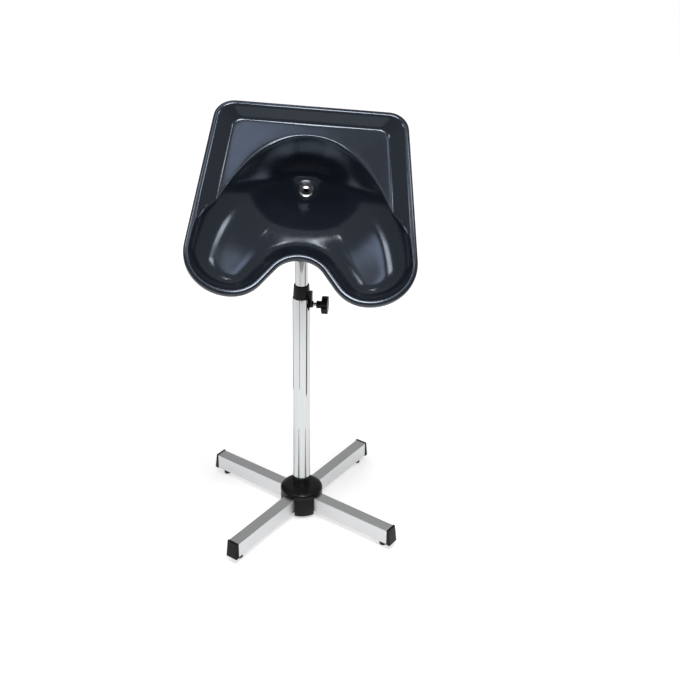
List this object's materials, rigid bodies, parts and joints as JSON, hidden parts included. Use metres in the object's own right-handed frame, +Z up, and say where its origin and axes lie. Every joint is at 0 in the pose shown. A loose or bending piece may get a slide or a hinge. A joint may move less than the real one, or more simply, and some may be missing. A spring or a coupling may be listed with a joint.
{
  "type": "freestanding shampoo basin",
  "caption": "Salon hair-wash bowl with a neck notch, rear deck and drain, tilting on a height-adjustable chromed pole over a cross-shaped floor stand.",
  "frame": {"origin": "on the floor, on the axis of the stand's pole", "axes": "+Z up along the pole; the bowl's neck notch faces -Y; +X is to the right seen from the notch side"},
  "size_m": [0.485, 0.4398, 0.9607],
  "materials": {
    "black_abs_gloss": "gloss",
    "black_plastic": "satin",
    "white_plastic": "matte",
    "chrome": "mirror",
    "aluminium": "brushed",
    "cast_zinc": "as cast",
    "zinc_steel": "zinc plated",
    "painted_steel": "satin",
    "brass": "plain",
    "rubber": "matte"
  },
  "bodies": {
    "base": {"hub_core": "black_plastic", "hub_cap": "black_plastic", "leg_rear_right": "aluminium", "leg_rear_left": "aluminium", "leg_front_left": "aluminium", "leg_front_right": "aluminium", "leg_end_cap_rear_right": "black_plastic", "leg_end_cap_rear_left": "black_plastic", "leg_end_cap_front_left": "black_plastic", "leg_end_cap_front_right": "black_plastic", "foot_rear_right": "rubber", "foot_rear_left": "rubber", "foot_front_left": "rubber", "foot_front_right": "rubber", "leg_screws": "zinc_steel", "lower_tube": "chrome", "lower_tube_plug": "black_plastic", "pole_washer": "zinc_steel", "pole_bolt": "zinc_steel", "collar": "black_plastic", "clamp_insert": "brass"},
    "height_knob": {"clamp_knob": "black_plastic", "clamp_stud": "zinc_steel"},
    "glide": {"glide_bush": "white_plastic"},
    "mast": {"upper_tube": "chrome", "tilt_head": "cast_zinc", "head_pin": "zinc_steel"},
    "yoke": {"yoke": "painted_steel", "pivot_bolt": "zinc_steel", "thrust_washers": "white_plastic"},
    "tilt_knob": {"tilt_knob": "black_plastic"},
    "bowl": {"bowl": "black_abs_gloss", "bowl_insert": "brass", "swivel_bolt": "zinc_steel", "swivel_washer": "zinc_steel", "friction_disc": "white_plastic", "drain_fitting": "chrome", "drain_gasket": "rubber", "drain_nut": "black_plastic"}
  },
  "joints": [
    {"name": "height_knob_turn", "type": "hinge", "parent": "base", "child": "height_knob", "pos_m": [0, 0, 0.546], "axis": [0.9781, -0.2079, 0], "range_deg": [0, 360]},
    {"name": "height_slide", "type": "slide", "parent": "base", "child": "glide", "axis": [0, 0, 1], "range_m": [-0.055, 0.3]},
    {"name": "pole_swivel", "type": "hinge", "parent": "glide", "child": "mast", "pos_m": [0, 0, 0.4], "axis": [0, 0, 1], "continuous": true},
    {"name": "bowl_tilt", "type": "hinge", "parent": "mast", "child": "yoke", "pos_m": [0, 0, 0.683], "axis": [1, 0, 0], "range_deg": [-38, 12]},
    {"name": "tilt_knob_turn", "type": "hinge", "parent": "yoke", "child": "tilt_knob", "pos_m": [0, 0, 0.683], "axis": [1, 0, 0], "range_deg": [-360, 0]},
    {"name": "bowl_turn", "type": "hinge", "parent": "yoke", "child": "bowl", "pos_m": [0, 0, 0.683], "axis": [0, -0.6157, 0.788], "range_deg": [-8.4, 21.6]}
  ]
}
